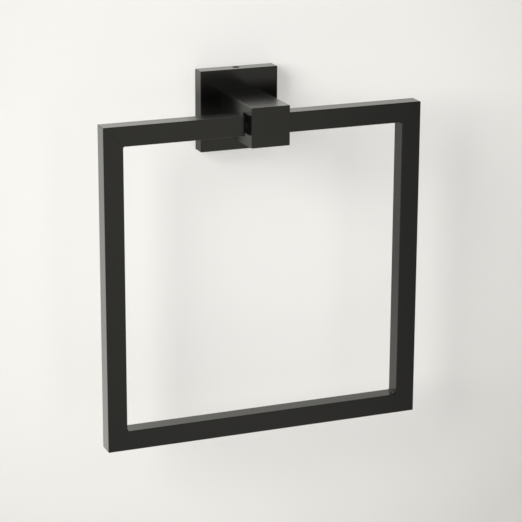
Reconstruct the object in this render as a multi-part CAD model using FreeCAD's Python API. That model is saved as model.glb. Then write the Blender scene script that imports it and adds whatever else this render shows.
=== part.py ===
"""Square towel ring for a wall: a welded tube ring that swings on two pins in a square post.

Lengths are in millimetres. The origin is on the wall, behind the middle of the cover.
+X is right, +Y goes into the wall and +Z is up, so the post stands out along -Y.
"""
import FreeCAD
import Part

import math
import os

from FreeCAD import Vector

OUT = "parts"

# Ring: a square of rectangular tube, mitred and welded, open at the top where the post stands
RING_WIDTH = 200.0
RING_HEIGHT = 197.5
BAR_FACE = 12.0              # tube size seen from the front
BAR_DEPTH = 10.7             # tube size from front to back
TUBE_WALL = 1.5
TUBE_EDGE_RADIUS = 0.4
WELD_LEG = 1.2               # bead in each inner corner of the window, along each bar
WELD_CROWN = 0.1             # how far the bead's face bulges
WELD_INSET = 1.4             # from the ring's flat faces to the bead's ends
ARM_END_RADIUS = 0.3         # edge of each arm's cut end

# Post: a solid square bar
POST_SIZE = 24.0
POST_PROJECTION = 60.0       # from the wall to the post's front face
POST_FRONT_LEAD = 7.0        # how far the post's front stands before the ring's front
POST_EDGE_RADIUS = 0.3
POST_SEAT_DEPTH = 1.0        # how far the post sits in the cover's face
POST_SEAT_CLEARANCE = 0.05

# Cover: the square cup that hides the bracket
COVER_SIZE = 49.5
COVER_DEPTH = 9.4
COVER_WALL = 2.0
COVER_FACE_WALL = 3.2
COVER_EDGE_RADIUS = 0.4
COVER_INNER_RADIUS = 1.5
BOSS_WIDTH = 9.0             # thread boss under the top wall
BOSS_ROOM = 1.15             # from the boss to the bracket's top edge
CATCH_WIDTH = 22.0           # hook on the bottom wall, under the bracket
CATCH_LENGTH = 2.6
CATCH_RIM_GAP = 0.4          # from the cover's rim back to the hook
CATCH_CLEARANCE = 0.1

# Wall bracket: a plate whose top and bottom edges lean in towards the wall
BRACKET_ROOM = 2.75          # inside the cover's walls, all round the bracket's wide face
BRACKET_THICKNESS = 5.4
BRACKET_LEAN = 30.0          # degrees
BRACKET_CORNER_RADIUS = 2.5
WALL_HOLE_RADIUS = 2.3
WALL_HOLE_SINK_RADIUS = 4.3
WALL_HOLE_SINK_DEPTH = 2.0

# Pins, plugs and bushes that the ring swings on
PIN_RADIUS = 2.5
PIN_CHAMFER = 0.5
PIN_PRESS_CLEARANCE = 0.01
PLUG_LENGTH = 12.0
PLUG_CLEARANCE = 0.05
PLUG_CHAMFER = 0.8           # on the plug's inner end, to start it in the tube
BUSH_WALL = 1.0
BUSH_DEPTH = 6.0             # sleeve inside the post
BUSH_FLANGE_RADIUS = 4.8
BUSH_FLANGE_THICKNESS = 1.2
BUSH_SEAT_CLEARANCE = 0.02
BUSH_RUNNING_CLEARANCE = 0.05
BUSH_END_GAP = 0.3           # from the flange to the arm's end
PIN_END_GAP = 0.6            # from the pin's tip to the bottom of the bush's hole

# Screw through the cover's face into the back of the post
POST_SCREW_RADIUS = 3.0
POST_SCREW_REACH = 10.0
POST_SCREW_HOLE_SPARE = 2.0
POST_SCREW_HOLE_CLEARANCE = 0.3
POST_SCREW_HEAD_RADIUS = 5.0
POST_SCREW_HEAD_HEIGHT = 2.6
POST_SCREW_HEAD_CHAMFER = 0.5
POST_SCREW_KEY = 4.0         # across the flats of its socket
POST_SCREW_KEY_DEPTH = 1.6
THREAD_CLEARANCE = 0.03
LOCK_WASHER_WALL = 2.0
LOCK_WASHER_THICKNESS = 1.3
LOCK_WASHER_SLIT = 0.8
LOCK_WASHER_CLEARANCE = 0.15
HEAD_ROOM = 0.85             # around the screw's head and washer in the bracket's bore

# Set screw in the cover's top edge
SET_SCREW_RADIUS = 2.0
SET_SCREW_Y = -3.9
SET_SCREW_RECESS = 0.4       # below the cover's top face
SET_SCREW_CONE = 1.2
SET_SCREW_TIP_RADIUS = 0.8
SET_SCREW_TIP_GAP = 0.05
SET_SCREW_KEY = 2.0
SET_SCREW_KEY_DEPTH = 2.2
SET_SCREW_HOLE_CHAMFER = 0.3

# Places worked out from the sizes
HALF_COVER = COVER_SIZE / 2
HALF_POST = POST_SIZE / 2
LEAN = math.tan(math.radians(BRACKET_LEAN))
BRACKET_SIZE = COVER_SIZE - 2 * (COVER_WALL + BRACKET_ROOM)
BOSS_DROP = BRACKET_ROOM - BOSS_ROOM
COVER_FLOOR_Y = -COVER_DEPTH + COVER_FACE_WALL
POST_BACK_Y = -COVER_DEPTH + POST_SEAT_DEPTH
RING_FRONT_Y = -POST_PROJECTION + POST_FRONT_LEAD
AXIS_Y = RING_FRONT_Y + BAR_DEPTH / 2
RING_TOP_Z = BAR_FACE / 2
RING_BOTTOM_Z = RING_TOP_Z - RING_HEIGHT
ARM_END_X = HALF_POST + BUSH_FLANGE_THICKNESS + BUSH_END_GAP
BUSH_BORE_RADIUS = PIN_RADIUS + BUSH_RUNNING_CLEARANCE
BUSH_RADIUS = BUSH_BORE_RADIUS + BUSH_WALL
PIN_TIP_X = HALF_POST - BUSH_DEPTH + PIN_END_GAP
LOCK_WASHER_BORE_RADIUS = POST_SCREW_RADIUS + LOCK_WASHER_CLEARANCE
LOCK_WASHER_RADIUS = LOCK_WASHER_BORE_RADIUS + LOCK_WASHER_WALL
BRACKET_BORE_RADIUS = max(POST_SCREW_HEAD_RADIUS, LOCK_WASHER_RADIUS) + HEAD_ROOM
WALL_HOLE_X = (BRACKET_BORE_RADIUS + BRACKET_SIZE / 2) / 2

RIGHT = Vector(1, 0, 0)
BACK = Vector(0, 1, 0)
UP = Vector(0, 0, 1)


def block(x_pair, y_pair, z_pair):
    """A box between two values along each axis."""
    low = Vector(min(x_pair), min(y_pair), min(z_pair))
    size = [abs(pair[1] - pair[0]) for pair in (x_pair, y_pair, z_pair)]
    return Part.makeBox(size[0], size[1], size[2], low)


def centred_block(width, y_pair, height):
    """A box centred on X and Z."""
    return block((-width / 2, width / 2), y_pair, (-height / 2, height / 2))


def edges_along(shape, direction):
    """The shape's straight edges that run along a direction."""
    found = []
    for edge in shape.Edges:
        straight = isinstance(edge.Curve, Part.Line)
        if straight and abs(edge.tangentAt(edge.FirstParameter).dot(direction)) > 0.999:
            found.append(edge)
    return found


def edges_at(shape, axis, value):
    """The shape's edges that lie in the plane where one coordinate has a value."""
    found = []
    for edge in shape.Edges:
        box = edge.BoundBox
        low, high = ((box.XMin, box.XMax), (box.YMin, box.YMax), (box.ZMin, box.ZMax))["xyz".index(axis)]
        if abs(low - value) < 1e-3 and abs(high - value) < 1e-3:
            found.append(edge)
    return found


def side_prism(points, width):
    """A prism along X, centred, from an outline of Y and Z values."""
    corners = [Vector(-width / 2, y, z) for y, z in points]
    face = Part.Face(Part.makePolygon(corners + corners[:1]))
    return face.extrude(RIGHT * width)


def turned(profile, start, direction):
    """A solid turned about an axis: the profile lists radius and distance along the axis."""
    corners = [Vector(radius, 0, along) for radius, along in profile]
    solid = Part.Face(Part.makePolygon(corners + corners[:1])).revolve(Vector(), UP, 360)
    solid.Placement = FreeCAD.Placement(start, FreeCAD.Rotation(UP, direction))
    return solid


def hexagon(across_flats, start, direction, depth):
    """The prism that a hexagonal socket takes out."""
    corner = across_flats / 2 / math.cos(math.radians(30))
    angles = [math.radians(60 * k) for k in range(6)]
    corners = [Vector(corner * math.cos(a), corner * math.sin(a), 0) for a in angles]
    prism = Part.Face(Part.makePolygon(corners + corners[:1])).extrude(UP * depth)
    prism.Placement = FreeCAD.Placement(start, FreeCAD.Rotation(UP, direction))
    return prism


def bracket_half_height(y):
    """Half the bracket's height at a distance from the wall."""
    return BRACKET_SIZE / 2 - (BRACKET_THICKNESS + y) * LEAN


def ring_outside():
    """The ring's outer form, with its window and the gap for the post."""
    y_pair = (RING_FRONT_Y, RING_FRONT_Y + BAR_DEPTH)
    half = RING_WIDTH / 2
    body = block((-half, half), y_pair, (RING_BOTTOM_Z, RING_TOP_Z))
    body = body.makeFillet(TUBE_EDGE_RADIUS, body.Edges)
    inner = half - BAR_FACE
    window = block((-inner, inner), y_pair, (RING_BOTTOM_Z + BAR_FACE, RING_TOP_Z - BAR_FACE))
    body = body.cut(window)
    loops = []
    for y in y_pair:
        loops += [e for e in edges_at(body, "y", y) if abs(e.CenterOfMass.x) < half - BAR_FACE / 2
                  and RING_BOTTOM_Z + BAR_FACE / 2 < e.CenterOfMass.z < RING_TOP_Z - BAR_FACE / 2]
    return body.makeFillet(TUBE_EDGE_RADIUS, loops)


def weld_bead(side, up):
    """The bead in one inner corner of the window. It stops short of the faces, which are ground flat."""
    corner_x = side * (RING_WIDTH / 2 - BAR_FACE)
    corner_z = RING_TOP_Z - BAR_FACE if up > 0 else RING_BOTTOM_Z + BAR_FACE
    y = RING_FRONT_Y + WELD_INSET

    def point(along_x, along_z):
        """A point at distances from the two bars."""
        return Vector(corner_x - side * along_x, y, corner_z - up * along_z)

    root = point(0, 0)
    toes = (point(WELD_LEG, 0), point(0, WELD_LEG))
    middle = WELD_LEG / 2 + WELD_CROWN / math.sqrt(2)
    face = Part.Arc(toes[0], point(middle, middle), toes[1]).toShape()
    sides = [Part.makeLine(root, toes[0]), face, Part.makeLine(toes[1], root)]
    return Part.Face(Part.Wire(sides)).extrude(BACK * (BAR_DEPTH - 2 * WELD_INSET))


def ring_hollow():
    """The space inside the tube, all the way round."""
    y_pair = (RING_FRONT_Y + TUBE_WALL, RING_FRONT_Y + BAR_DEPTH - TUBE_WALL)
    half = RING_WIDTH / 2 - TUBE_WALL
    z_pair = (RING_BOTTOM_Z + TUBE_WALL, RING_TOP_Z - TUBE_WALL)
    core = RING_WIDTH / 2 - BAR_FACE + TUBE_WALL
    core_z = (RING_BOTTOM_Z + BAR_FACE - TUBE_WALL, RING_TOP_Z - BAR_FACE + TUBE_WALL)
    return block((-half, half), y_pair, z_pair).cut(block((-core, core), y_pair, core_z))


def make_ring():
    """The welded tube ring, with open arm ends that the plugs close."""
    y_pair = (RING_FRONT_Y, RING_FRONT_Y + BAR_DEPTH)
    gap = block((-ARM_END_X, ARM_END_X), y_pair, (RING_TOP_Z - BAR_FACE, RING_TOP_Z))
    beads = [weld_bead(side, up) for side in (-1, 1) for up in (-1, 1)]
    solid = ring_outside().fuse(beads).cut(gap)
    ends = edges_at(solid, "x", -ARM_END_X) + edges_at(solid, "x", ARM_END_X)
    solid = solid.makeFillet(ARM_END_RADIUS, ends)
    return solid.cut(ring_hollow())


def make_plug(side):
    """The block welded into one arm's end, bored for its pin."""
    half_face = BAR_FACE / 2 - TUBE_WALL - PLUG_CLEARANCE
    half_depth = BAR_DEPTH / 2 - TUBE_WALL - PLUG_CLEARANCE
    x_pair = (side * ARM_END_X, side * (ARM_END_X + PLUG_LENGTH))
    plug = block(x_pair, (AXIS_Y - half_depth, AXIS_Y + half_depth), (-half_face, half_face))
    plug = plug.makeChamfer(PLUG_CHAMFER, edges_at(plug, "x", x_pair[1]))
    bore = Part.makeCylinder(PIN_RADIUS + PIN_PRESS_CLEARANCE, PLUG_LENGTH,
                             Vector(x_pair[0], AXIS_Y, 0), RIGHT * side)
    return plug.cut(bore)


def make_pin(side):
    """The dowel that is pressed into the plug and turns in the bush."""
    length = ARM_END_X + PLUG_LENGTH - PIN_TIP_X
    profile = [(0, 0), (PIN_RADIUS - PIN_CHAMFER, 0), (PIN_RADIUS, PIN_CHAMFER),
               (PIN_RADIUS, length - PIN_CHAMFER), (PIN_RADIUS - PIN_CHAMFER, length), (0, length)]
    return turned(profile, Vector(side * PIN_TIP_X, AXIS_Y, 0), RIGHT * side)


def make_bush(side):
    """The flanged sleeve in the post's side."""
    start = HALF_POST - BUSH_DEPTH
    profile = [(BUSH_BORE_RADIUS, 0), (BUSH_RADIUS, 0), (BUSH_RADIUS, BUSH_DEPTH),
               (BUSH_FLANGE_RADIUS, BUSH_DEPTH), (BUSH_FLANGE_RADIUS, BUSH_DEPTH + BUSH_FLANGE_THICKNESS),
               (BUSH_BORE_RADIUS, BUSH_DEPTH + BUSH_FLANGE_THICKNESS)]
    return turned(profile, Vector(side * start, AXIS_Y, 0), RIGHT * side)


def make_post():
    """The square post, with a hole in each side for a bush and one in its back for the screw."""
    post = centred_block(POST_SIZE, (-POST_PROJECTION, POST_BACK_Y), POST_SIZE)
    rounded = edges_along(post, BACK) + edges_at(post, "y", -POST_PROJECTION)
    post = post.makeFillet(POST_EDGE_RADIUS, rounded)
    for side in (-1, 1):
        mouth = Vector(side * HALF_POST, AXIS_Y, 0)
        seat = Part.makeCylinder(BUSH_RADIUS + BUSH_SEAT_CLEARANCE, BUSH_DEPTH, mouth, RIGHT * -side)
        post = post.cut(seat)
    depth = POST_SCREW_REACH + POST_SCREW_HOLE_SPARE
    start = Vector(0, POST_BACK_Y, 0)
    hole = Part.makeCylinder(POST_SCREW_RADIUS + THREAD_CLEARANCE, depth, start, BACK * -1)
    return post.cut(hole)


def make_cover():
    """The square cup, with the post's seat, the set screw's boss and the hook."""
    cover = centred_block(COVER_SIZE, (-COVER_DEPTH, 0), COVER_SIZE)
    rounded = edges_along(cover, BACK) + edges_at(cover, "y", -COVER_DEPTH)
    cover = cover.makeFillet(COVER_EDGE_RADIUS, rounded)
    inside = COVER_SIZE - 2 * COVER_WALL
    cup = centred_block(inside, (COVER_FLOOR_Y, 0), inside)
    cup = cup.makeFillet(COVER_INNER_RADIUS, edges_along(cup, BACK))
    cover = cover.cut(cup)
    inner_z = inside / 2
    boss_x = (-BOSS_WIDTH / 2, BOSS_WIDTH / 2)
    boss = block(boss_x, (COVER_FLOOR_Y, 0), (inner_z - BOSS_DROP, inner_z))
    rim_y = -CATCH_RIM_GAP
    hook_y = rim_y - CATCH_LENGTH
    hook = side_prism([(rim_y, -inner_z), (hook_y, -inner_z),
                       (hook_y, -bracket_half_height(hook_y) - CATCH_CLEARANCE),
                       (rim_y, -bracket_half_height(rim_y) - CATCH_CLEARANCE)], CATCH_WIDTH)
    cover = cover.fuse([boss, hook]).removeSplitter()
    seat_size = POST_SIZE + 2 * POST_SEAT_CLEARANCE
    seat = centred_block(seat_size, (-COVER_DEPTH, POST_BACK_Y), seat_size)
    seat = seat.makeFillet(POST_EDGE_RADIUS, edges_along(seat, BACK))
    through_radius = POST_SCREW_RADIUS + POST_SCREW_HOLE_CLEARANCE
    through_start = Vector(0, POST_BACK_Y, 0)
    through = Part.makeCylinder(through_radius, COVER_FLOOR_Y - POST_BACK_Y, through_start, BACK)
    thread_radius = SET_SCREW_RADIUS + THREAD_CLEARANCE
    thread_length = COVER_WALL + BOSS_DROP
    mouth_radius = thread_radius + SET_SCREW_HOLE_CHAMFER
    set_hole = turned([(0, 0), (mouth_radius, 0), (thread_radius, SET_SCREW_HOLE_CHAMFER),
                       (thread_radius, thread_length), (0, thread_length)],
                      Vector(0, SET_SCREW_Y, HALF_COVER), UP * -1)
    return cover.cut([seat, through, set_hole])


def make_wall_bracket():
    """The plate on the wall, with leaning edges, two sunk holes and a bore for the post's screw."""
    bracket = centred_block(BRACKET_SIZE, (-BRACKET_THICKNESS, 0), BRACKET_SIZE)
    bracket = bracket.makeFillet(BRACKET_CORNER_RADIUS, edges_along(bracket, BACK))
    top = BRACKET_SIZE / 2
    low = bracket_half_height(0)
    for side in (-1, 1):
        wedge = [(-BRACKET_THICKNESS, side * top), (0, side * top), (0, side * low)]
        bracket = bracket.cut(side_prism(wedge, BRACKET_SIZE))
        front = Vector(side * WALL_HOLE_X, -BRACKET_THICKNESS, 0)
        profile = [(0, 0), (WALL_HOLE_SINK_RADIUS, 0), (WALL_HOLE_RADIUS, WALL_HOLE_SINK_DEPTH),
                   (WALL_HOLE_RADIUS, BRACKET_THICKNESS), (0, BRACKET_THICKNESS)]
        bracket = bracket.cut(turned(profile, front, BACK))
    front = Vector(0, -BRACKET_THICKNESS, 0)
    return bracket.cut(Part.makeCylinder(BRACKET_BORE_RADIUS, BRACKET_THICKNESS, front, BACK))


def make_lock_washer():
    """The split spring washer under the post screw's head."""
    start = Vector(0, COVER_FLOOR_Y, 0)
    profile = [(LOCK_WASHER_BORE_RADIUS, 0), (LOCK_WASHER_RADIUS, 0),
               (LOCK_WASHER_RADIUS, LOCK_WASHER_THICKNESS),
               (LOCK_WASHER_BORE_RADIUS, LOCK_WASHER_THICKNESS)]
    washer = turned(profile, start, BACK)
    slit = block((-LOCK_WASHER_SLIT / 2, LOCK_WASHER_SLIT / 2),
                 (COVER_FLOOR_Y, COVER_FLOOR_Y + LOCK_WASHER_THICKNESS), (0, LOCK_WASHER_RADIUS))
    return washer.cut(slit)


def make_post_screw():
    """The socket screw that holds the post to the cover."""
    neck = COVER_FLOOR_Y + LOCK_WASHER_THICKNESS - POST_BACK_Y
    shank = POST_SCREW_REACH + neck
    total = shank + POST_SCREW_HEAD_HEIGHT
    profile = [(0, 0), (POST_SCREW_RADIUS - POST_SCREW_HEAD_CHAMFER, 0),
               (POST_SCREW_RADIUS, POST_SCREW_HEAD_CHAMFER),
               (POST_SCREW_RADIUS, shank), (POST_SCREW_HEAD_RADIUS, shank),
               (POST_SCREW_HEAD_RADIUS, total - POST_SCREW_HEAD_CHAMFER),
               (POST_SCREW_HEAD_RADIUS - POST_SCREW_HEAD_CHAMFER, total), (0, total)]
    screw = turned(profile, Vector(0, POST_BACK_Y - POST_SCREW_REACH, 0), BACK)
    head_y = COVER_FLOOR_Y + LOCK_WASHER_THICKNESS + POST_SCREW_HEAD_HEIGHT
    return screw.cut(hexagon(POST_SCREW_KEY, Vector(0, head_y, 0), BACK * -1, POST_SCREW_KEY_DEPTH))


def make_set_screw():
    """The headless screw in the cover's top edge, with its cone point on the bracket's leaning edge."""
    top = HALF_COVER - SET_SCREW_RECESS
    tip = bracket_half_height(SET_SCREW_Y - SET_SCREW_TIP_RADIUS) + SET_SCREW_TIP_GAP
    length = top - tip
    profile = [(0, 0), (SET_SCREW_RADIUS, 0), (SET_SCREW_RADIUS, length - SET_SCREW_CONE),
               (SET_SCREW_TIP_RADIUS, length), (0, length)]
    start = Vector(0, SET_SCREW_Y, top)
    screw = turned(profile, start, UP * -1)
    return screw.cut(hexagon(SET_SCREW_KEY, start, UP * -1, SET_SCREW_KEY_DEPTH))


def build():
    """Every piece by its name."""
    return {
        "ring_tube": make_ring(),
        "left_end_plug": make_plug(-1),
        "right_end_plug": make_plug(1),
        "left_pin": make_pin(-1),
        "right_pin": make_pin(1),
        "left_bush": make_bush(-1),
        "right_bush": make_bush(1),
        "post": make_post(),
        "post_screw": make_post_screw(),
        "lock_washer": make_lock_washer(),
        "cover": make_cover(),
        "cover_set_screw": make_set_screw(),
        "wall_bracket": make_wall_bracket(),
    }


def main():
    """Write one file for each piece."""
    os.makedirs(OUT, exist_ok=True)
    for name, shape in build().items():
        if not shape.isValid():
            raise ValueError(name + " is not a valid solid")
        if len(shape.Solids) != 1:
            raise ValueError(name + " has " + str(len(shape.Solids)) + " solids")
        shape.Solids[0].exportStep(OUT + "/" + name + ".step")
        print(name, round(shape.Volume, 1))


main()
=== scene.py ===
"""Square wall towel ring: a black coated tube ring that swings on a square post.

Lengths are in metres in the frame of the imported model: +X right, +Y into the wall, +Z up.
"""
from __future__ import annotations

import logging
import math
from dataclasses import dataclass, field
from enum import Enum

import bmesh
import bpy
from mathutils import Matrix, Vector

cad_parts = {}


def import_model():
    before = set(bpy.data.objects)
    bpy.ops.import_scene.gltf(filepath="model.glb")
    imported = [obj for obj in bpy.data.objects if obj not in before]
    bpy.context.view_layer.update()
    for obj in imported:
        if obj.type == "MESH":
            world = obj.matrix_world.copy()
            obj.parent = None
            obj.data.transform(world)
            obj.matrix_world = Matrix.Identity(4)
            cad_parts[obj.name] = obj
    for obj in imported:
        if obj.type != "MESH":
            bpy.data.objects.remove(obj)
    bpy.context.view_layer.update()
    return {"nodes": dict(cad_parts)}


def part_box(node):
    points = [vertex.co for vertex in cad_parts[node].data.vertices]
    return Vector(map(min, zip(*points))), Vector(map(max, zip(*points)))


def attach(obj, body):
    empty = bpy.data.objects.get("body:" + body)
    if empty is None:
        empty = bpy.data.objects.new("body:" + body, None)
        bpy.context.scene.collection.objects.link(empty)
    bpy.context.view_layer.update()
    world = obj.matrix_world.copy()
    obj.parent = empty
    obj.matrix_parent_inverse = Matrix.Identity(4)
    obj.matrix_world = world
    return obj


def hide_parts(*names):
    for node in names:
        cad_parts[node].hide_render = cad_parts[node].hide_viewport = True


LOG = logging.getLogger("towel_ring")
MM = 0.001
Colour = tuple[float, float, float]
Node = bpy.types.Node
Socket = bpy.types.NodeSocket
Loop = list[bmesh.types.BMVert]


class Body(Enum):
    """The two bodies that pieces ride on."""

    MOUNT = "wall_mount"
    RING = "ring"


class Slot(Enum):
    """The record's material slots."""

    COAT = "black_coat"
    BRIGHT = "bright_steel"
    ZINC = "zinc_steel"
    BLACK_SCREW = "black_screw"
    NYLON = "black_nylon"


class Grain(Enum):
    """The direction that fine machining lines run in, as a stretch of the pattern along X, Y and Z."""

    ALONG_X = (0.04, 1.0, 1.0)
    ROUND = (1.0, 1.0, 1.0)


@dataclass(frozen=True)
class Fade:
    """A level that changes evenly from one place to another, and stays the same past both."""

    start: float
    end: float
    first: float = 0.0
    last: float = 1.0


def linear(red: int, green: int, blue: int) -> Colour:
    """Turn a display colour into scene values.

    Args:
        red: the red level, from 0 to 255.
        green: the green level, from 0 to 255.
        blue: the blue level, from 0 to 255.

    Returns:
        The colour in scene values.
    """
    shares = (red / 255, green / 255, blue / 255)
    return tuple(s / 12.92 if s <= 0.04045 else ((s + 0.055) / 1.055) ** 2.4 for s in shares)


class Graph:
    """A node tree with short calls to add and join nodes."""

    def __init__(self, tree: bpy.types.NodeTree) -> None:
        """Keep the tree."""
        self.tree = tree

    def add(self, kind: str, values: dict[str | int, object] | None = None, **settings: object) -> Node:
        """Add a node.

        Args:
            kind: the node's type name.
            values: a value or a socket for each named or numbered input.
            settings: properties of the node itself.

        Returns:
            The new node.
        """
        node = self.tree.nodes.new(kind)
        for name, value in settings.items():
            setattr(node, name, value)
        for key, value in (values or {}).items():
            if isinstance(value, bpy.types.NodeSocket):
                self.tree.links.new(value, node.inputs[key])
            else:
                node.inputs[key].default_value = value
        return node

    def join(self, output: Socket, target: Socket) -> None:
        """Link two sockets."""
        self.tree.links.new(output, target)

    def maths(self, operation: str, *values: float | Socket) -> Socket:
        """The result of a Math node."""
        return self.add("ShaderNodeMath", dict(enumerate(values)), operation=operation).outputs[0]

    def ramp(self, value: Socket, low: float, high: float,
             to_low: float | Socket, to_high: float | Socket) -> Socket:
        """A value moved from one range to another, kept inside it."""
        inputs = {"Value": value, "From Min": low, "From Max": high, "To Min": to_low, "To Max": to_high}
        return self.add("ShaderNodeMapRange", inputs).outputs["Result"]

    def fade(self, value: Socket, fade: Fade) -> Socket:
        """The level of a fade at a value."""
        return self.ramp(value, fade.start, fade.end, fade.first, fade.last)

    def blend(self, share: Socket, first: Socket | Colour, second: Socket | Colour) -> Socket:
        """A blend of two colours.

        Args:
            share: the second colour's share.
            first: the colour at a share of 0.
            second: the colour at a share of 1.

        Returns:
            The blended colour.
        """
        mix = self.add("ShaderNodeMix", {"Factor": share}, data_type="RGBA")
        for index, colour in ((6, first), (7, second)):
            if isinstance(colour, bpy.types.NodeSocket):
                self.join(colour, mix.inputs[index])
            else:
                mix.inputs[index].default_value = (*colour, 1.0)
        return mix.outputs[2]

    def glow(self, colour: Colour, level: Socket) -> Socket:
        """A light that a surface gives off."""
        return self.add("ShaderNodeEmission", {"Color": (*colour, 1.0), "Strength": level}).outputs[0]

    def place(self) -> Socket:
        """The place on the piece, in the piece's own coordinates."""
        return self.add("ShaderNodeTexCoord").outputs["Object"]

    def noise(self, place: Socket, scale: float | Socket, detail: float, roughness: float = 0.5) -> Socket:
        """The value of a noise pattern at a place."""
        inputs = {"Vector": place, "Scale": scale, "Detail": detail, "Roughness": roughness}
        return self.add("ShaderNodeTexNoise", inputs).outputs["Fac"]


def shader_group(name: str, inputs: dict[str, tuple[str, object]],
                 outputs: dict[str, str]) -> tuple[Graph, Node, Node]:
    """Start a shader node group.

    Args:
        name: the group's name.
        inputs: for each input, its socket type and first value.
        outputs: for each output, its socket type.

    Returns:
        The group's graph, its input node and its output node.
    """
    tree = bpy.data.node_groups.new(name, "ShaderNodeTree")
    for label, (kind, value) in inputs.items():
        socket = tree.interface.new_socket(label, in_out="INPUT", socket_type=kind)
        socket.default_value = value
    for label, kind in outputs.items():
        tree.interface.new_socket(label, in_out="OUTPUT", socket_type=kind)
    graph = Graph(tree)
    return graph, graph.add("NodeGroupInput"), graph.add("NodeGroupOutput")


class Effects:
    """The surface effects that several finishes share, each one a shader node group."""

    FINE_SHARE = 0.35
    BROAD_SHARE = 0.65
    BROAD_SCALE = 0.06
    PATTERN_MIDDLE = 0.5
    CLOUD_RANGE = Fade(0.3, 0.7)

    def __init__(self) -> None:
        """Build the groups."""
        self.orange_peel = self._orange_peel()
        self.machined_lines = self._machined_lines()
        self.mottle = self._mottle()

    def _uneven(self, graph: Graph, given: Node, pattern: Socket) -> Socket:
        """The group's Roughness, moved up and down over the surface by its Spread."""
        offset = graph.maths("SUBTRACT", pattern, self.PATTERN_MIDDLE)
        return graph.maths("ADD", given.outputs["Roughness"],
                           graph.maths("MULTIPLY", offset, given.outputs["Spread"]))

    def _orange_peel(self) -> bpy.types.NodeTree:
        """Build the fine pebbled skin of a baked coat or a moulding.

        Returns:
            The group.
        """
        number = "NodeSocketFloat"
        graph, given, result = shader_group(
            "orange_peel",
            {"Scale": (number, 900.0), "Roughness": (number, 0.4), "Spread": (number, 0.05)},
            {"Roughness": number, "Height": number},
        )
        place = graph.place()
        broad_scale = graph.maths("MULTIPLY", given.outputs["Scale"], self.BROAD_SCALE)
        fine = graph.noise(place, given.outputs["Scale"], detail=3.0, roughness=0.55)
        broad = graph.noise(place, broad_scale, detail=2.0)
        both = graph.maths("ADD", graph.maths("MULTIPLY", fine, self.FINE_SHARE),
                           graph.maths("MULTIPLY", broad, self.BROAD_SHARE))
        graph.join(self._uneven(graph, given, both), result.inputs["Roughness"])
        graph.join(fine, result.inputs["Height"])
        return graph.tree

    def _machined_lines(self) -> bpy.types.NodeTree:
        """Build the fine lines left by grinding, turning or a brush.

        Returns:
            The group.
        """
        number, vector = "NodeSocketFloat", "NodeSocketVector"
        graph, given, result = shader_group(
            "machined_lines",
            {"Scale": (number, 2500.0), "Stretch": (vector, Grain.ALONG_X.value), "Roughness": (number, 0.3),
             "Spread": (number, 0.15)},
            {"Roughness": number, "Height": number},
        )
        stretched = graph.add("ShaderNodeVectorMath", {0: graph.place(), 1: given.outputs["Stretch"]},
                              operation="MULTIPLY").outputs[0]
        lines = graph.noise(stretched, given.outputs["Scale"], detail=4.0, roughness=0.6)
        graph.join(self._uneven(graph, given, lines), result.inputs["Roughness"])
        graph.join(lines, result.inputs["Height"])
        return graph.tree

    def _mottle(self) -> bpy.types.NodeTree:
        """Build a faint change of tone across a surface, between two colours.

        Returns:
            The group.
        """
        number, colour = "NodeSocketFloat", "NodeSocketColor"
        graph, given, result = shader_group(
            "mottle",
            {"Scale": (number, 40.0), "Dark": (colour, (0, 0, 0, 1)), "Light": (colour, (1, 1, 1, 1))},
            {"Color": colour},
        )
        cloud = graph.noise(graph.place(), given.outputs["Scale"], detail=5.0, roughness=0.6)
        share = graph.fade(cloud, self.CLOUD_RANGE)
        tone = graph.blend(share, given.outputs["Dark"], given.outputs["Light"])
        graph.join(tone, result.inputs["Color"])
        return graph.tree


def new_material(name: str) -> tuple[bpy.types.Material, Graph, Node]:
    """Start a material.

    Args:
        name: the material's name.

    Returns:
        The material, its graph and its Principled shader.
    """
    made = bpy.data.materials.new(name)
    made.use_nodes = True
    return made, Graph(made.node_tree), made.node_tree.nodes["Principled BSDF"]


def lay_finish(graph: Graph, shader: Node, tone: Node, pattern: Node, bump: Node) -> None:
    """Join a finish to its shader.

    Args:
        graph: the material's graph.
        shader: its Principled shader.
        tone: gives the colour.
        pattern: gives the uneven gloss and the height.
        bump: turns the height into a bump.
    """
    graph.join(tone.outputs["Color"], shader.inputs["Base Color"])
    graph.join(pattern.outputs["Roughness"], shader.inputs["Roughness"])
    graph.join(pattern.outputs["Height"], bump.inputs["Height"])
    graph.join(bump.outputs["Normal"], shader.inputs["Normal"])


@dataclass(frozen=True)
class Coat:
    """A baked coat or a moulded skin: pebbled, with a faint mottle, and glossier with a top layer."""

    name: str
    dark: Colour
    light: Colour
    roughness: float
    spread: float = 0.06
    grain: float = 900.0
    bump: float = 0.12
    bump_depth: float = 0.02 * MM
    index: float = 1.5
    top_layer: float = 0.0
    top_roughness: float = 0.25

    def material(self, effects: Effects) -> bpy.types.Material:
        """Build the material.

        Args:
            effects: the shared node groups.

        Returns:
            The material.
        """
        made, graph, shader = new_material(self.name)
        peel_values = {"Scale": self.grain, "Roughness": self.roughness, "Spread": self.spread}
        peel = graph.add("ShaderNodeGroup", peel_values, node_tree=effects.orange_peel)
        tones = {"Dark": (*self.dark, 1.0), "Light": (*self.light, 1.0)}
        tone = graph.add("ShaderNodeGroup", tones, node_tree=effects.mottle)
        bump = graph.add("ShaderNodeBump", {"Strength": self.bump, "Distance": self.bump_depth})
        lay_finish(graph, shader, tone, peel, bump)
        graph.join(bump.outputs["Normal"], shader.inputs["Coat Normal"])
        shader.inputs["IOR"].default_value = self.index
        shader.inputs["Coat Weight"].default_value = self.top_layer
        shader.inputs["Coat Roughness"].default_value = self.top_roughness
        shader.inputs["Coat IOR"].default_value = self.index
        return made


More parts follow.
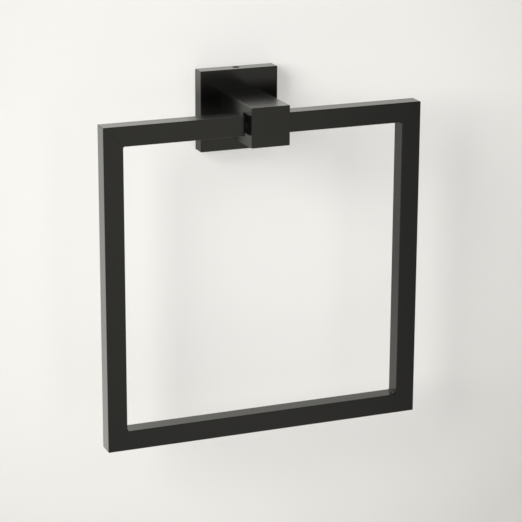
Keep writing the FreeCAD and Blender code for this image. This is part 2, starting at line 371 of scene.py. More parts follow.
@dataclass(frozen=True)
class Metal:
    """A bare or plated metal with fine machining lines."""

    name: str
    dark: Colour
    light: Colour
    roughness: float
    grain: Grain
    spread: float = 0.2
    lines: float = 2500.0
    mottle: float = 160.0
    bump: float = 0.15
    bump_depth: float = 0.01 * MM
    metallic: float = 1.0

    def material(self, effects: Effects) -> bpy.types.Material:
        """Build the material.

        Args:
            effects: the shared node groups.

        Returns:
            The material.
        """
        made, graph, shader = new_material(self.name)
        line_values = {"Scale": self.lines, "Stretch": self.grain.value, "Roughness": self.roughness,
                       "Spread": self.spread}
        lines = graph.add("ShaderNodeGroup", line_values, node_tree=effects.machined_lines)
        tones = {"Scale": self.mottle, "Dark": (*self.dark, 1.0), "Light": (*self.light, 1.0)}
        tone = graph.add("ShaderNodeGroup", tones, node_tree=effects.mottle)
        bump = graph.add("ShaderNodeBump", {"Strength": self.bump, "Distance": self.bump_depth})
        lay_finish(graph, shader, tone, lines, bump)
        shader.inputs["Metallic"].default_value = self.metallic
        return made


BLACK_COAT = Coat("black_powder_coat", linear(6, 6, 6), linear(8, 8, 7), roughness=0.2, index=1.3,
                  top_layer=1.0, top_roughness=0.26)
BLACK_NYLON = Coat("black_nylon", linear(11, 11, 12), linear(15, 15, 16), roughness=0.6, index=1.35,
                   grain=1500.0)
GROUND_STEEL = Metal("ground_steel", linear(188, 186, 181), linear(208, 207, 203), roughness=0.26,
                     grain=Grain.ALONG_X)
ZINC_PLATE = Metal("zinc_plate", linear(176, 178, 176), linear(206, 207, 203), roughness=0.34,
                   grain=Grain.ROUND, lines=700.0)
BLACK_OXIDE = Metal("black_oxide", linear(40, 40, 41), linear(58, 57, 56), roughness=0.34,
                    grain=Grain.ROUND, lines=1500.0)


class Palette:
    """One built material for each of the record's slots."""

    def __init__(self, effects: Effects) -> None:
        """Build the materials.

        Args:
            effects: the shared node groups.
        """
        finishes = {Slot.COAT: BLACK_COAT, Slot.NYLON: BLACK_NYLON, Slot.BRIGHT: GROUND_STEEL,
                    Slot.ZINC: ZINC_PLATE, Slot.BLACK_SCREW: BLACK_OXIDE}
        self.materials = {slot: finish.material(effects) for slot, finish in finishes.items()}

    def dress(self, node: bpy.types.Object, slot: Slot) -> None:
        """Give a node of the frame its material.

        Args:
            node: the node.
            slot: the slot of its material.
        """
        node.data.materials.clear()
        node.data.materials.append(self.materials[slot])
        LOG.info("%s: dressed in %s", node.name, slot.value)


def link_object(name: str, shape: bmesh.types.BMesh) -> bpy.types.Object:
    """Put a mesh in the scene as an object at the origin.

    Args:
        name: the object's name.
        shape: the mesh, which is freed.

    Returns:
        The object.
    """
    mesh = bpy.data.meshes.new(name)
    shape.to_mesh(mesh)
    shape.free()
    made = bpy.data.objects.new(name, mesh)
    bpy.context.scene.collection.objects.link(made)
    return made


def mesh_object(name: str, shape: bmesh.types.BMesh, smooth_angle: float = 40.0) -> bpy.types.Object:
    """Turn a closed mesh into an object at the origin, its faces outwards and its soft edges smooth.

    Args:
        name: the object's name.
        shape: the mesh, which is freed.
        smooth_angle: the angle in degrees up to which edges are shaded smooth.

    Returns:
        The object.
    """
    bmesh.ops.recalc_face_normals(shape, faces=shape.faces)
    for face in shape.faces:
        face.smooth = True
    limit = math.radians(smooth_angle)
    for edge in shape.edges:
        edge.smooth = len(edge.link_faces) == 2 and edge.calc_face_angle(0.0) < limit
    return link_object(name, shape)


def bridge(shape: bmesh.types.BMesh, loops: list[Loop]) -> None:
    """Join each closed loop of vertices to the next one with four-sided faces.

    Args:
        shape: the mesh.
        loops: its loops, each with the same number of vertices.
    """
    for near, far in zip(loops, loops[1:]):
        for k in range(len(near)):
            after = (k + 1) % len(near)
            shape.faces.new((near[k], near[after], far[after], far[k]))


def rim_edges(shape: bmesh.types.BMesh, loop: Loop) -> list[bmesh.types.BMEdge]:
    """The edges along a closed loop of vertices."""
    return [shape.edges.get((loop[k], loop[(k + 1) % len(loop)])) for k in range(len(loop))]


def finish_piece(piece: bpy.types.Object, palette: Palette, slot: Slot, body: Body, *nodes: str) -> None:
    """Give a new piece its material, slot and body, and hide the nodes that it stands for.

    Args:
        piece: the new piece.
        palette: the built materials.
        slot: the piece's slot.
        body: the body that it rides on.
        nodes: the nodes of the frame that it replaces.
    """
    piece.data.materials.clear()
    piece.data.materials.append(palette.materials[slot])
    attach(piece, body.value)
    if nodes:
        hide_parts(*nodes)
    LOG.info("%s: %d faces, rides on %s", piece.name, len(piece.data.polygons), body.value)


def geometry_tree(name: str, inputs: dict[str, tuple[str, object]]) -> tuple[Graph, Node, Node]:
    """Start a Geometry Nodes tree that makes one mesh.

    Args:
        name: the tree's name.
        inputs: for each input, its socket type and first value.

    Returns:
        The tree's graph, its input node and its output node.
    """
    tree = bpy.data.node_groups.new(name, "GeometryNodeTree")
    for label, (kind, value) in inputs.items():
        socket = tree.interface.new_socket(label, in_out="INPUT", socket_type=kind)
        if value is not None:
            socket.default_value = value
    tree.interface.new_socket("Geometry", in_out="OUTPUT", socket_type="NodeSocketGeometry")
    graph = Graph(tree)
    return graph, graph.add("NodeGroupInput"), graph.add("NodeGroupOutput")


def close_tree(graph: Graph, shape: Socket, given: Node, result: Node) -> bpy.types.NodeTree:
    """End a Geometry Nodes tree with plain mesh data in its own material.

    Args:
        graph: the tree's graph.
        shape: the shape that it made.
        given: the tree's input node.
        result: the tree's output node.

    Returns:
        The tree.
    """
    real = graph.add("GeometryNodeRealizeInstances", {"Geometry": shape}).outputs["Geometry"]
    dressed = graph.add("GeometryNodeSetMaterial", {"Geometry": real, "Material": given.outputs["Material"]})
    graph.join(dressed.outputs["Geometry"], result.inputs["Geometry"])
    return graph.tree


def grow(tree: bpy.types.NodeTree, values: dict[str, object]) -> bpy.types.Mesh:
    """Run a Geometry Nodes tree once.

    Args:
        tree: the tree.
        values: a value for each input to set, by its name.

    Returns:
        The mesh that the tree makes, with no modifier behind it.
    """
    seed = bpy.data.objects.new(tree.name, bpy.data.meshes.new(tree.name))
    modifier = seed.modifiers.new(tree.name, "NODES")
    modifier.node_group = tree
    for item in tree.interface.items_tree:
        if item.in_out == "INPUT" and item.name in values:
            modifier[item.identifier] = values[item.name]
    bpy.context.scene.collection.objects.link(seed)
    evaluated = seed.evaluated_get(bpy.context.evaluated_depsgraph_get())
    made = bpy.data.meshes.new_from_object(evaluated)
    seed.modifiers.remove(modifier)
    bpy.data.objects.remove(seed)
    return made


class Trees:
    """The Geometry Nodes trees for what repeats or follows a path."""

    BEAD_STEPS = 121
    WANDER_SCALE = 500.0
    WANDER_TURN = 0.6
    WANDER_SWELL = 0.25
    WANDER_MIDDLE = 0.5
    WAVE_MIDDLE = 0.64
    BEAD_END = 1.04

    def __init__(self) -> None:
        """Build the trees."""
        self.thread = self._thread()
        self.weld_bead = self._weld_bead()

    def _thread(self) -> bpy.types.NodeTree:
        """Build a V-shaped ridge on a helix along +Z, which tapers out at both ends.

        Returns:
            The tree.
        """
        number = "NodeSocketFloat"
        graph, given, result = geometry_tree("screw_thread", {
            "Radius": (number, 2.0 * MM), "Pitch": (number, 0.7 * MM), "Depth": (number, 0.35 * MM),
            "Length": (number, 4.0 * MM), "Resolution": ("NodeSocketInt", 40), "Run Out": (number, 0.08),
            "Material": ("NodeSocketMaterial", None)})
        size = given.outputs
        turns = graph.maths("DIVIDE", size["Length"], size["Pitch"])
        core = graph.maths("SUBTRACT", size["Radius"], size["Depth"])
        helix = graph.add("GeometryNodeCurveSpiral", {
            "Resolution": size["Resolution"], "Rotations": turns, "Start Radius": core, "End Radius": core,
            "Height": size["Length"]}).outputs["Curve"]
        along = graph.add("GeometryNodeSplineParameter").outputs["Factor"]
        rise = graph.maths("DIVIDE", along, size["Run Out"])
        fall = graph.maths("DIVIDE", graph.maths("SUBTRACT", 1.0, along), size["Run Out"])
        width = graph.maths("MINIMUM", graph.maths("MINIMUM", rise, fall), 1.0)
        tapered = graph.add("GeometryNodeSetCurveRadius", {"Curve": helix, "Radius": width}).outputs["Curve"]
        upright = graph.add("GeometryNodeSetCurveNormal", {"Curve": tapered}, mode="Z_UP").outputs["Curve"]
        ridge = graph.add("GeometryNodeCurvePrimitiveCircle", {"Resolution": 4, "Radius": size["Depth"]})
        swept = graph.add("GeometryNodeCurveToMesh", {
            "Curve": upright, "Profile Curve": ridge.outputs["Curve"], "Fill Caps": True}).outputs["Mesh"]
        return close_tree(graph, swept, given, result)

    def _weld_bead(self) -> bpy.types.NodeTree:
        """Build a fillet weld along +Z in the corner between +X and +Y.

        Returns:
            The tree.
        """
        number = "NodeSocketFloat"
        graph, given, result = geometry_tree("weld_bead", {
            "Leg": (number, 1.2 * MM), "Crown": (number, 0.1 * MM), "Root": (number, 0.3 * MM),
            "Length": (number, 7.9 * MM), "Pitch": (number, 0.8 * MM), "Ripple": (number, 0.06),
            "Run Out": (number, 0.8 * MM), "Seed": (number, 3.0), "Material": ("NodeSocketMaterial", None)})
        size = given.outputs
        top = graph.add("ShaderNodeCombineXYZ", {"Z": size["Length"]}).outputs["Vector"]
        line = graph.add("GeometryNodeCurvePrimitiveLine", {"End": top}).outputs["Curve"]
        count = {"Curve": line, "Count": self.BEAD_STEPS}
        steps = graph.add("GeometryNodeResampleCurve", count, mode="COUNT").outputs["Curve"]
        radius = self._bead_radius(graph, size)
        path = graph.add("GeometryNodeSetCurveRadius", {"Curve": steps, "Radius": radius}).outputs["Curve"]
        back = graph.maths("MULTIPLY", size["Root"], -1.0)
        middle = graph.maths("ADD", graph.maths("MULTIPLY", size["Leg"], 0.5), size["Crown"])
        corners = {"Point 1": (back, back), "Point 2": (size["Leg"], back), "Point 3": (middle, middle),
                   "Point 4": (back, size["Leg"])}
        points = {name: graph.add("ShaderNodeCombineXYZ", {"X": x, "Y": y}).outputs["Vector"]
                  for name, (x, y) in corners.items()}
        section = graph.add("GeometryNodeCurvePrimitiveQuadrilateral", points, mode="POINTS")
        swept = graph.add("GeometryNodeCurveToMesh", {
            "Curve": path, "Profile Curve": section.outputs["Curve"], "Fill Caps": True}).outputs["Mesh"]
        return close_tree(graph, swept, given, result)

    def _bead_radius(self, graph: Graph, size: bpy.types.NodeOutputs) -> Socket:
        """Give a bead's thickness along its length: ripples that wander, and rounded ends.

        Args:
            graph: the bead's graph.
            size: the outputs of the tree's input node.

        Returns:
            The thickness, where 1 is the bead's own section.
        """
        along = graph.add("GeometryNodeSplineParameter").outputs["Length"]
        spot = graph.maths("ADD", graph.maths("MULTIPLY", along, self.WANDER_SCALE), size["Seed"])
        noise = graph.add("ShaderNodeTexNoise", {"W": spot, "Scale": 1.0}, noise_dimensions="1D")
        wander = noise.outputs["Fac"]
        turn = graph.maths("ADD", graph.maths("DIVIDE", along, size["Pitch"]),
                           graph.maths("MULTIPLY", wander, self.WANDER_TURN))
        wave = graph.maths("ABSOLUTE", graph.maths("SINE", graph.maths("MULTIPLY", turn, math.pi)))
        ripple = graph.maths("MULTIPLY", graph.maths("SUBTRACT", wave, self.WAVE_MIDDLE), size["Ripple"])
        off_middle = graph.maths("SUBTRACT", wander, self.WANDER_MIDDLE)
        drift = graph.maths("MULTIPLY", off_middle, self.WANDER_SWELL)
        to_end = graph.maths("MINIMUM", along, graph.maths("SUBTRACT", size["Length"], along))
        inside = graph.maths("MINIMUM", graph.maths("DIVIDE", to_end, size["Run Out"]), 1.0)
        near = graph.maths("POWER", graph.maths("SUBTRACT", 1.0, inside), 2.0)
        taper = graph.maths("SQRT", graph.maths("SUBTRACT", self.BEAD_END, near))
        return graph.maths("MULTIPLY", taper, graph.maths("ADD", 1.0, graph.maths("ADD", ripple, drift)))


@dataclass(frozen=True)
class Station:
    """One place along the ring: points of its outer and inner sides in XZ, and the way outwards."""

    outer: Vector
    inner: Vector
    outward: Vector
    inset: float = 0.0
    seam: float = 0.0


@dataclass
class WeldedRing:
    """The square ring of mitred tube, its weld beads and the parts in its two arm ends."""

    palette: Palette
    trees: Trees
    nodes: dict[str, bpy.types.Object]
    bar_face: float = 12.0 * MM
    tube_wall: float = 1.5 * MM
    edge_radius: float = 0.4 * MM
    edge_strip: float = 0.05 * MM
    outer_radius: float = 0.5 * MM
    inner_radius: float = 0.25 * MM
    end_radius: float = 0.3 * MM
    seam_height: float = 0.012 * MM
    seam_steps: int = 3
    seam_fade: int = 4
    weld_leg: float = 1.2 * MM
    weld_inset: float = 1.4 * MM
    weld_seed: float = 3.0
    weld_seed_step: float = 7.0
    weld_smooth_angle: float = 50.0
    edge_steps: int = 6
    corner_steps: int = 8
    low: Vector = field(init=False)
    high: Vector = field(init=False)
    arm_end: float = field(init=False)

    def __post_init__(self) -> None:
        """Read the ring's size and place from the frame."""
        self.low, self.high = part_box("ring_tube")
        self.arm_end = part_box("right_end_plug")[0].x

    def corners(self) -> list[tuple[float, float, float]]:
        """The four corners in the order of the path: signs along X and Z, and the first angle."""
        return [(-1, 1, 90.0), (-1, -1, 180.0), (1, -1, 270.0), (1, 1, 360.0)]

    def corner_point(self, side: float, up: float, inset: float) -> Vector:
        """A corner of the ring's outline, moved in from both sides."""
        z = self.high.z - inset if up > 0 else self.low.z + inset
        return Vector((side * (self.high.x - inset), z))

    def arm_stations(self, side: float) -> list[Station]:
        """Round one arm's end off, from its end face to its full section and a narrow strip of that.

        Args:
            side: -1 for the left arm, 1 for the right one.

        Returns:
            The arm's stations, from its end inwards.
        """
        places = []
        for step in range(self.edge_steps + 1):
            turn = math.pi / 2 * step / self.edge_steps
            places.append((self.end_radius * (1 - math.cos(turn)), self.end_radius * (1 - math.sin(turn))))
        places.append((self.end_radius + self.edge_strip, 0.0))
        made = []
        for along, inset in places:
            outer = Vector((side * (self.arm_end + along), self.high.z))
            made.append(Station(outer, outer - Vector((0.0, self.bar_face)), Vector((0.0, 1.0)), inset))
        return made

    def stations(self) -> list[Station]:
        """Lay out every station, with a ground seam in the middle of each corner.

        Returns:
            The stations, from the left arm's end round to the right arm's.
        """
        made = self.arm_stations(-1)
        for side, up, first in self.corners():
            outer_centre = self.corner_point(side, up, self.outer_radius)
            inner_centre = self.corner_point(side, up, self.bar_face + self.inner_radius)
            for step in range(self.corner_steps + 1):
                angle = math.radians(first + 90.0 * step / self.corner_steps)
                outward = Vector((math.cos(angle), math.sin(angle)))
                off_middle = abs(step - self.corner_steps / 2)
                seam = max(0.0, 1.0 - off_middle / self.seam_steps) * self.seam_height
                made.append(Station(outer_centre + outward * self.outer_radius,
                                    inner_centre + outward * self.inner_radius, outward, 0.0, seam))
        return made + self.arm_stations(1)[::-1]

    def section(self, station: Station) -> list[Vector]:
        """Draw the tube's rounded section at a station.

        Args:
            station: the station.

        Returns:
            A closed loop of points.
        """
        radius = self.edge_radius - station.inset
        front, back = self.low.y + station.inset, self.high.y - station.inset
        outer = station.outer - station.outward * station.inset
        inner = station.inner + station.outward * station.inset

        def rounded(base: Vector, way: float, edge: float, inwards: float) -> list[Vector]:
            """Round one edge off, between narrow strips that keep both faces flat.

            Args:
                base: the side's point in XZ.
                way: 1 where the bar lies outwards of it, or -1.
                edge: the face's place along Y.
                inwards: the sign of the way into the bar along Y.

            Returns:
                The edge's points, from the side to the face.
            """
            steps = [(0.0, radius + self.edge_strip)]
            for step in range(self.edge_steps + 1):
                turn = math.pi / 2 * step / self.edge_steps
                lift = station.seam * math.sin(turn) ** self.seam_fade
                steps.append((radius * (1 - math.cos(turn)), radius * (1 - math.sin(turn)) - lift))
            steps.append((radius + self.edge_strip, -station.seam))
            made = []
            for across, depth in steps:
                spot = base + station.outward * (way * across)
                made.append(Vector((spot.x, edge + inwards * depth, spot.y)))
            return made

        return (rounded(outer, -1, front, 1) + rounded(inner, 1, front, 1)[::-1]
                + rounded(inner, 1, back, -1) + rounded(outer, -1, back, -1)[::-1])

    def hollow(self) -> list[list[Vector]]:
        """Draw the tube's square inside.

        Returns:
            A loop of points at each end and each mitre.
        """
        wall = self.tube_wall
        front, back = self.low.y + wall, self.high.y - wall
        top, bottom = self.high.z - wall, self.high.z - self.bar_face + wall
        path = [(Vector((-self.arm_end, top)), Vector((-self.arm_end, bottom)))]
        for side, up, _ in self.corners():
            outer = self.corner_point(side, up, wall)
            path.append((outer, self.corner_point(side, up, self.bar_face - wall)))
        path.append((Vector((self.arm_end, top)), Vector((self.arm_end, bottom))))
        return [[Vector((out.x, front, out.y)), Vector((inn.x, front, inn.y)),
                 Vector((inn.x, back, inn.y)), Vector((out.x, back, out.y))] for out, inn in path]

    def tube(self) -> bpy.types.Object:
        """Make the tube, outside and inside, with its cut arm ends.

        Returns:
            The tube.
        """
        shape = bmesh.new()
        skins = []
        for outlines in ([self.section(station) for station in self.stations()], self.hollow()):
            loops = [[shape.verts.new(point) for point in outline] for outline in outlines]
            bridge(shape, loops)
            skins.append(loops)
        for end in (0, -1):
            rim = [edge for loops in skins for edge in rim_edges(shape, loops[end])]
            bmesh.ops.triangle_fill(shape, edges=rim, use_beauty=True)
        return mesh_object("ring_welded_tube", shape)

    def beads(self) -> bpy.types.Object:
        """Make the weld bead in each inner corner of the window, short of the ground faces.

        Returns:
            The four beads as one object.
        """
        length = (self.high.y - self.low.y) - 2 * self.weld_inset
        shape = bmesh.new()
        for index, (side, up, _) in enumerate(self.corners()):
            seed = self.weld_seed + self.weld_seed_step * index
            bead = grow(self.trees.weld_bead, {"Leg": self.weld_leg, "Length": length, "Seed": seed})
            corner = self.corner_point(side, up, self.bar_face)
            turn = Matrix(((-side, 0, 0), (0, 0, -up), (0, 1, 0))).transposed().to_4x4()
            bead.transform(Matrix.Translation((corner.x, self.low.y + self.weld_inset, corner.y)) @ turn)
            shape.from_mesh(bead)
            bpy.data.meshes.remove(bead)
        return mesh_object("ring_weld_beads", shape, self.weld_smooth_angle)

    def build(self) -> None:
        """Make the ring and dress what it holds."""
        finish_piece(self.tube(), self.palette, Slot.COAT, Body.RING, "ring_tube")
        finish_piece(self.beads(), self.palette, Slot.COAT, Body.RING)
        for side in ("left", "right"):
            self.palette.dress(self.nodes[f"{side}_end_plug"], Slot.COAT)
            self.palette.dress(self.nodes[f"{side}_pin"], Slot.BRIGHT)


@dataclass
class SocketScrew:
    """A screw with a hexagonal socket. Its axis is +Z, and its tip is at zero."""

    name: str
    radius: float
    length: float
    pitch: float
    key: float
    key_depth: float
    head_radius: float = 0.0
    head_height: float = 0.0
    tip_radius: float = 0.0
    tip_length: float = 0.0
    plain_length: float = 0.0
    bevel: float = 0.25 * MM
    thread_share: float = 0.54
    mouth_share: float = 1.12
    mouth_depth_share: float = 0.12
    drill_point_share: float = 0.25
    segments: int = 64

    def thread_depth(self) -> float:
        """The depth of the thread for its pitch."""
        return self.thread_share * self.pitch

    def outline(self) -> list[tuple[float, float]]:
        """Draw the turned profile.

        Returns:
            Radius and height of each point, from the tip to the rim of the top face.
        """
        core = self.radius - self.thread_depth()
        profile = [(self.tip_radius or core - self.bevel, 0.0), (core, self.tip_length or self.bevel)]
        if self.plain_length:
            threaded = self.length - self.plain_length
            profile += [(core, threaded - self.bevel), (self.radius, threaded)]
        if self.head_height:
            top = self.length + self.head_height
            profile += [(self.radius, self.length), (self.head_radius, self.length)]
            profile += [(self.head_radius, top - self.bevel), (self.head_radius - self.bevel, top)]
        else:
            profile += [(core, self.length - self.bevel), (core - self.bevel, self.length)]
        return profile

    def circle(self, shape: bmesh.types.BMesh, radius: float, z: float, count: int) -> Loop:
        """A loop of evenly spaced vertices round the screw's axis."""
        angles = [2 * math.pi * k / count for k in range(count)]
        return [shape.verts.new((radius * math.cos(a), radius * math.sin(a), z)) for a in angles]

    def body(self) -> bmesh.types.BMesh:
        """Make the turned body with its socket.

        Returns:
            The body's mesh.
        """
        shape = bmesh.new()
        turned = [self.circle(shape, radius, z, self.segments) for radius, z in self.outline()]
        bridge(shape, turned)
        shape.faces.new(turned[0])
        top = self.length + self.head_height
        corner = self.key / 2 / math.cos(math.radians(30))
        levels = ((self.mouth_share * corner, top), (corner, top - self.mouth_depth_share * self.key),
                  (corner, top - self.key_depth))
        socket = [self.circle(shape, radius, z, 6) for radius, z in levels]
        bridge(shape, socket)
        bottom = shape.verts.new((0, 0, top - self.key_depth - self.drill_point_share * self.key))
        for k in range(6):
            shape.faces.new((socket[-1][k], socket[-1][(k + 1) % 6], bottom))
        rim = rim_edges(shape, socket[0]) + rim_edges(shape, turned[-1])
        bmesh.ops.triangle_fill(shape, edges=rim, use_beauty=True)
        return shape

    def build(self, trees: Trees, place: Matrix) -> bpy.types.Object:
        """Make the screw where it belongs.

        Args:
            trees: the Geometry Nodes trees.
            place: moves the screw from its own axis to its place in the frame.

        Returns:
            The screw as one object.
        """
        start = self.tip_length or self.bevel
        threaded = self.length - start - self.plain_length - self.bevel
        thread = grow(trees.thread, {"Radius": self.radius, "Pitch": self.pitch, "Length": threaded,
                                     "Depth": self.thread_depth()})
        thread.transform(Matrix.Translation((0, 0, start)))
        shape = self.body()
        shape.from_mesh(thread)
        bpy.data.meshes.remove(thread)
        shape.transform(place)
        return mesh_object(self.name, shape)


@dataclass
class WallMount:
    """The post, its cover, the bracket behind it and their screws."""

    palette: Palette
    trees: Trees
    nodes: dict[str, bpy.types.Object]
    set_screw_pitch: float = 0.7 * MM
    set_screw_key: float = 2.0 * MM
    set_screw_key_depth: float = 2.2 * MM
    set_screw_tip_radius: float = 0.8 * MM
    set_screw_tip_length: float = 1.2 * MM
    post_screw_radius: float = 3.0 * MM
    post_screw_head_height: float = 2.6 * MM
    post_screw_pitch: float = 1.0 * MM
    post_screw_key: float = 4.0 * MM
    post_screw_key_depth: float = 1.6 * MM
    post_screw_plain: float = 3.5 * MM

    def set_screw(self) -> bpy.types.Object:
        """Make the headless screw in the cover's top edge, point down.

        Returns:
            The screw.
        """
        low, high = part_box("cover_set_screw")
        screw = SocketScrew(
            "cover_set_screw_threaded", (high.x - low.x) / 2, high.z - low.z, self.set_screw_pitch,
            self.set_screw_key, self.set_screw_key_depth, tip_radius=self.set_screw_tip_radius,
            tip_length=self.set_screw_tip_length)
        return screw.build(self.trees, Matrix.Translation((0, (low.y + high.y) / 2, low.z)))

    def post_screw(self) -> bpy.types.Object:
        """Make the headed screw from behind the cover's face into the post.

        Returns:
            The screw.
        """
        low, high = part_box("post_screw")
        shank = high.y - low.y - self.post_screw_head_height
        screw = SocketScrew(
            "post_screw_threaded", self.post_screw_radius, shank, self.post_screw_pitch,
            self.post_screw_key, self.post_screw_key_depth, head_radius=(high.x - low.x) / 2,
            head_height=self.post_screw_head_height, plain_length=self.post_screw_plain)
        turn = Matrix.Rotation(math.radians(-90), 4, "X")
        return screw.build(self.trees, Matrix.Translation((0, low.y, 0)) @ turn)

    def build(self) -> None:
        """Make the screws and dress the rest."""
        finish_piece(self.set_screw(), self.palette, Slot.BLACK_SCREW, Body.MOUNT, "cover_set_screw")
        finish_piece(self.post_screw(), self.palette, Slot.ZINC, Body.MOUNT, "post_screw")
        for name in ("post", "cover"):
            self.palette.dress(self.nodes[name], Slot.COAT)
        for name in ("wall_bracket", "lock_washer"):
            self.palette.dress(self.nodes[name], Slot.ZINC)
        for name in ("left_bush", "right_bush"):
            self.palette.dress(self.nodes[name], Slot.NYLON)


@dataclass(frozen=True)
class PlasterWall:
    """Painted plaster: how it is lit, a painted pool of light that only the camera sees on it, and a painted
    reflection of it that only the gloss shows.
    """

    colour: Colour = linear(240, 239, 236)
    roughness: float = 0.9
    specular: float = 0.1
    pebble_scale: float = 160.0
    pebble_bump: float = 0.1
    pebble_depth: float = 0.4 * MM
    # Painted light: camera rays see this share of the wall as a glowing pool instead of the lit plaster.
    painted_light_share: float = 0.3
    painted_light_colour: Colour = (1.0, 0.992, 0.965)
    painted_light_middle: Vector = Vector((-15 * MM, 0, -45 * MM))
    painted_light_reach: float = 325 * MM
    # Level of the painted pool of light, from its middle out to its reach.
    seen_level: Fade = Fade(0.0, 1.0, 1.2, 0.3)
    # The fields below paint the wall's reflection for glossy rays: brighter to the left and above, with
    # painted shade by the cover.
    gloss_colour: Colour = (1.0, 0.988, 0.925)
    left_share: Fade = Fade(-110 * MM, 0.0, 1.0, 0.0)
    left_level: float = 1.05
    level_by_height: Fade = Fade(-170 * MM, -110 * MM, 0.64, 0.47)
    top_share: Fade = Fade(8 * MM, 26 * MM)
    top_level: Fade = Fade(-60 * MM, 110 * MM, 1.12, 0.84)
    # Painted shade in the reflection: dimmer near the cover.
    painted_shade_by_cover: Fade = Fade(27 * MM, 32 * MM, 0.76, 1.0)

    def material(self) -> bpy.types.Material:
        """Build the wall's material, which the camera sees through from behind.

        Returns:
            The material.
        """
        made, graph, shader = new_material("painted_plaster")
        shader.inputs["Base Color"].default_value = (*self.colour, 1.0)
        shader.inputs["Roughness"].default_value = self.roughness
        shader.inputs["Specular IOR Level"].default_value = self.specular
        pebbles = graph.noise(graph.place(), self.pebble_scale, detail=3.0)
        bump = graph.add("ShaderNodeBump", {"Strength": self.pebble_bump, "Distance": self.pebble_depth,
                                            "Height": pebbles})
        graph.join(bump.outputs["Normal"], shader.inputs["Normal"])
        rays = graph.add("ShaderNodeLightPath").outputs
        # Painted light: for camera rays the lit plaster is mixed with the glowing pool.
        painted_light_mix = graph.maths("MULTIPLY", rays["Is Camera Ray"], self.painted_light_share)
        painted_pool = graph.add("ShaderNodeMixShader", {0: painted_light_mix, 1: shader.outputs[0], 2: self.painted_pool(graph)})
        # Painted reflection: glossy rays see a glow instead of the lit plaster.
        front = graph.add("ShaderNodeMixShader", {0: rays["Is Glossy Ray"], 1: painted_pool.outputs[0],
                                                  2: self.painted_reflection(graph)})
        behind = graph.add("ShaderNodeNewGeometry").outputs["Backfacing"]
        clear = graph.add("ShaderNodeBsdfTransparent").outputs[0]
        both = graph.add("ShaderNodeMixShader", {0: behind, 1: front.outputs[0], 2: clear})
        graph.join(both.outputs[0], made.node_tree.nodes["Material Output"].inputs["Surface"])
        return made

    def painted_pool(self, graph: Graph) -> Socket:
        """Paint a pool of light on the wall for the camera alone, brightest at its middle and dimmer
        outwards.

        Args:
            graph: the wall's graph.

        Returns:
            The painted pool of light.
        """
        points = {0: graph.place(), 1: self.painted_light_middle}
        off = graph.add("ShaderNodeVectorMath", points, operation="DISTANCE").outputs["Value"]
        share = graph.maths("POWER", graph.maths("DIVIDE", off, self.painted_light_reach), 2.0)
        return graph.glow(self.painted_light_colour, graph.fade(share, self.seen_level))

    def painted_reflection(self, graph: Graph) -> Socket:
        """Paint what the coat's gloss shows of the wall: a glowing painted reflection, brighter to the left
        and above, with painted shade by the cover.

        Args:
            graph: the wall's graph.

        Returns:
            The painted reflection that the gloss shows.
        """
        axes = graph.add("ShaderNodeSeparateXYZ", {0: graph.place()}).outputs
        left = graph.maths("POWER", graph.fade(axes["X"], self.left_share), 2.0)
        beside = graph.ramp(left, 0.0, 1.0, graph.fade(axes["Z"], self.level_by_height), self.left_level)
        above = graph.fade(axes["X"], self.top_level)
        lit = graph.ramp(graph.fade(axes["Z"], self.top_share), 0.0, 1.0, beside, above)
        across, up = (graph.maths("ABSOLUTE", axes[name]) for name in ("X", "Z"))
        off = graph.maths("MAXIMUM", across, up)
        # Painted shade: the reflection glow is dimmed near the cover.
        level = graph.maths("MULTIPLY", lit, graph.fade(off, self.painted_shade_by_cover))
        return graph.glow(self.gloss_colour, level)


@dataclass(frozen=True)
class Room:
    """The pale room before the wall, graded by direction: bright to the left and dimmer overhead."""

    plain_colour: Colour = (1.0, 0.995, 0.98)
    gloss_colour: Colour = (1.0, 0.98, 0.88)
    seen_level: float = 0.93
    window_side: Fade = Fade(0.36, 0.45, 2.0, 0.1)
    left_level: Fade = Fade(0.24, 0.38, 0.46, 1.0)
    right_from: float = 0.6
    right_to: float = 0.85
    right_level: float = 0.85
    floor_level: Fade = Fade(-0.5, -0.2, 0.2, 1.0)
    overhead_from: float = -0.24
    overhead_to: float = -0.05
    overhead_plain: float = 0.48
    overhead_gloss: float = 0.4

    def world(self) -> bpy.types.World:
        """Build the world.

        Returns:
            The world.
        """
        made = bpy.data.worlds.new("pale_room")
        made.use_nodes = True
        graph = Graph(made.node_tree)
        back = made.node_tree.nodes["Background"]
        rays = graph.add("ShaderNodeLightPath").outputs
        glossy = rays["Is Glossy Ray"]
        graph.join(graph.blend(glossy, self.plain_colour, self.gloss_colour), back.inputs["Color"])
        direction = graph.add("ShaderNodeTexCoord").outputs["Generated"]
        way = graph.add("ShaderNodeSeparateXYZ", {0: direction}).outputs
        window = graph.add("ShaderNodeMapRange", {
            "Value": way["X"], "From Min": self.window_side.start, "From Max": self.window_side.end,
            "To Min": self.window_side.first, "To Max": self.window_side.last},
            interpolation_type="SMOOTHSTEP").outputs["Result"]
        front = graph.maths("MULTIPLY", window, graph.fade(way["X"], self.left_level))
        across = graph.ramp(way["X"], self.right_from, self.right_to, front, self.right_level)
        overhead = graph.ramp(glossy, 0.0, 1.0, self.overhead_plain, self.overhead_gloss)
        above = graph.ramp(way["Z"], self.overhead_from, self.overhead_to, 1.0, overhead)
        upright = graph.maths("MULTIPLY", graph.fade(way["Z"], self.floor_level), above)
        level = graph.maths("MULTIPLY", across, upright)
        strength = graph.ramp(rays["Is Camera Ray"], 0.0, 1.0, level, self.seen_level)
        graph.join(strength, back.inputs["Strength"])
        return made


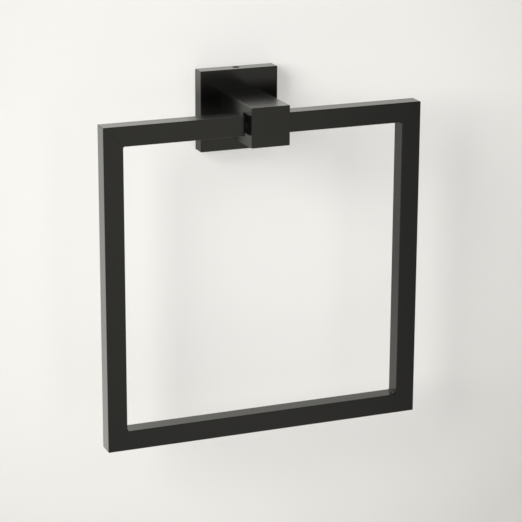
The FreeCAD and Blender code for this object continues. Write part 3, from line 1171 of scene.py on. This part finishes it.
@dataclass
class Studio:
    """The pale wall and floor, the room, the window's light and the camera."""

    wall: PlasterWall = PlasterWall()
    room: Room = Room()
    wall_half: float = 1.2
    wall_gap: float = 0.4 * MM
    floor_half: float = 3.0
    floor_drop: float = 1.3
    floor_front: float = 2.2
    floor_roughness: float = 0.8
    window_place: Vector = Vector((-2.6, -1.3, 1.1))
    window_aim: Vector = Vector((0, 0, -0.08))
    window_size: float = 1.9
    window_watts: float = 119.0
    window_colour: Colour = (1.0, 0.985, 0.96)
    image_size: int = 522
    focal_pixels: float = 2143.4
    sensor: float = 36.0
    camera_place: Vector = Vector((-460.34 * MM, -1185.73 * MM, 282.40 * MM))
    camera_azimuth: float = 21.983
    camera_elevation: float = 16.652
    camera_roll: float = 0.233

    def plane(self, name: str, corners: list[tuple[float, float, float]]) -> bpy.types.Object:
        """Make a flat stage piece.

        Args:
            name: its name.
            corners: its four corners.

        Returns:
            The piece.
        """
        shape = bmesh.new()
        shape.faces.new([shape.verts.new(corner) for corner in corners])
        made = link_object(name, shape)
        return made

    def hang_wall(self) -> None:
        """Set the wall that it hangs on."""
        side, gap, low = self.wall_half, self.wall_gap, -self.floor_drop
        corners = [(-side, gap, low), (side, gap, low), (side, gap, side), (-side, gap, side)]
        wall = self.plane("wall", corners)
        wall.data.materials.append(self.wall.material())
        wall.visible_diffuse = False
        wall.visible_shadow = False

    def lay_floor(self) -> None:
        """Set the floor below."""
        side, near, low = self.floor_half, -self.floor_front, -self.floor_drop
        corners = [(-side, near, low), (side, near, low), (side, side, low), (-side, side, low)]
        floor = self.plane("floor", corners)
        paint, _, shader = new_material("pale_floor")
        shader.inputs["Base Color"].default_value = (*self.wall.colour, 1.0)
        shader.inputs["Roughness"].default_value = self.floor_roughness
        floor.data.materials.append(paint)

    def light(self) -> None:
        """Set a broad window light at the upper left, and the room."""
        data = bpy.data.lights.new("window_light", "AREA")
        data.shape = "SQUARE"
        data.size = self.window_size
        data.energy = self.window_watts
        data.color = self.window_colour
        made = bpy.data.objects.new("window_light", data)
        made.location = self.window_place
        made.rotation_euler = (self.window_aim - self.window_place).to_track_quat("-Z", "Y").to_euler()
        bpy.context.scene.collection.objects.link(made)
        bpy.context.scene.world = self.room.world()

    def camera(self) -> None:
        """Set the camera at the photograph's view."""
        data = bpy.data.cameras.new("camera")
        data.sensor_width = self.sensor
        data.lens = self.focal_pixels * self.sensor / self.image_size
        made = bpy.data.objects.new("camera", data)
        turn = (Matrix.Rotation(math.radians(-self.camera_azimuth), 4, "Z")
                @ Matrix.Rotation(math.radians(90 - self.camera_elevation), 4, "X")
                @ Matrix.Rotation(math.radians(self.camera_roll), 4, "Z"))
        made.matrix_world = Matrix.Translation(self.camera_place) @ turn
        bpy.context.scene.collection.objects.link(made)
        bpy.context.scene.camera = made

    def build(self) -> None:
        """Set the whole stage."""
        self.camera()
        self.hang_wall()
        self.lay_floor()
        self.light()
        bpy.context.scene.view_settings.view_transform = "Standard"


def main() -> None:
    """Load the frame, build each sub-assembly and set the stage."""
    logging.basicConfig(level=logging.INFO, format="%(name)s: %(message)s")
    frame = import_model()
    Studio().build()
    palette = Palette(Effects())
    trees = Trees()
    WallMount(palette, trees, frame["nodes"]).build()
    WeldedRing(palette, trees, frame["nodes"]).build()


if __name__ == "__main__":
    main()
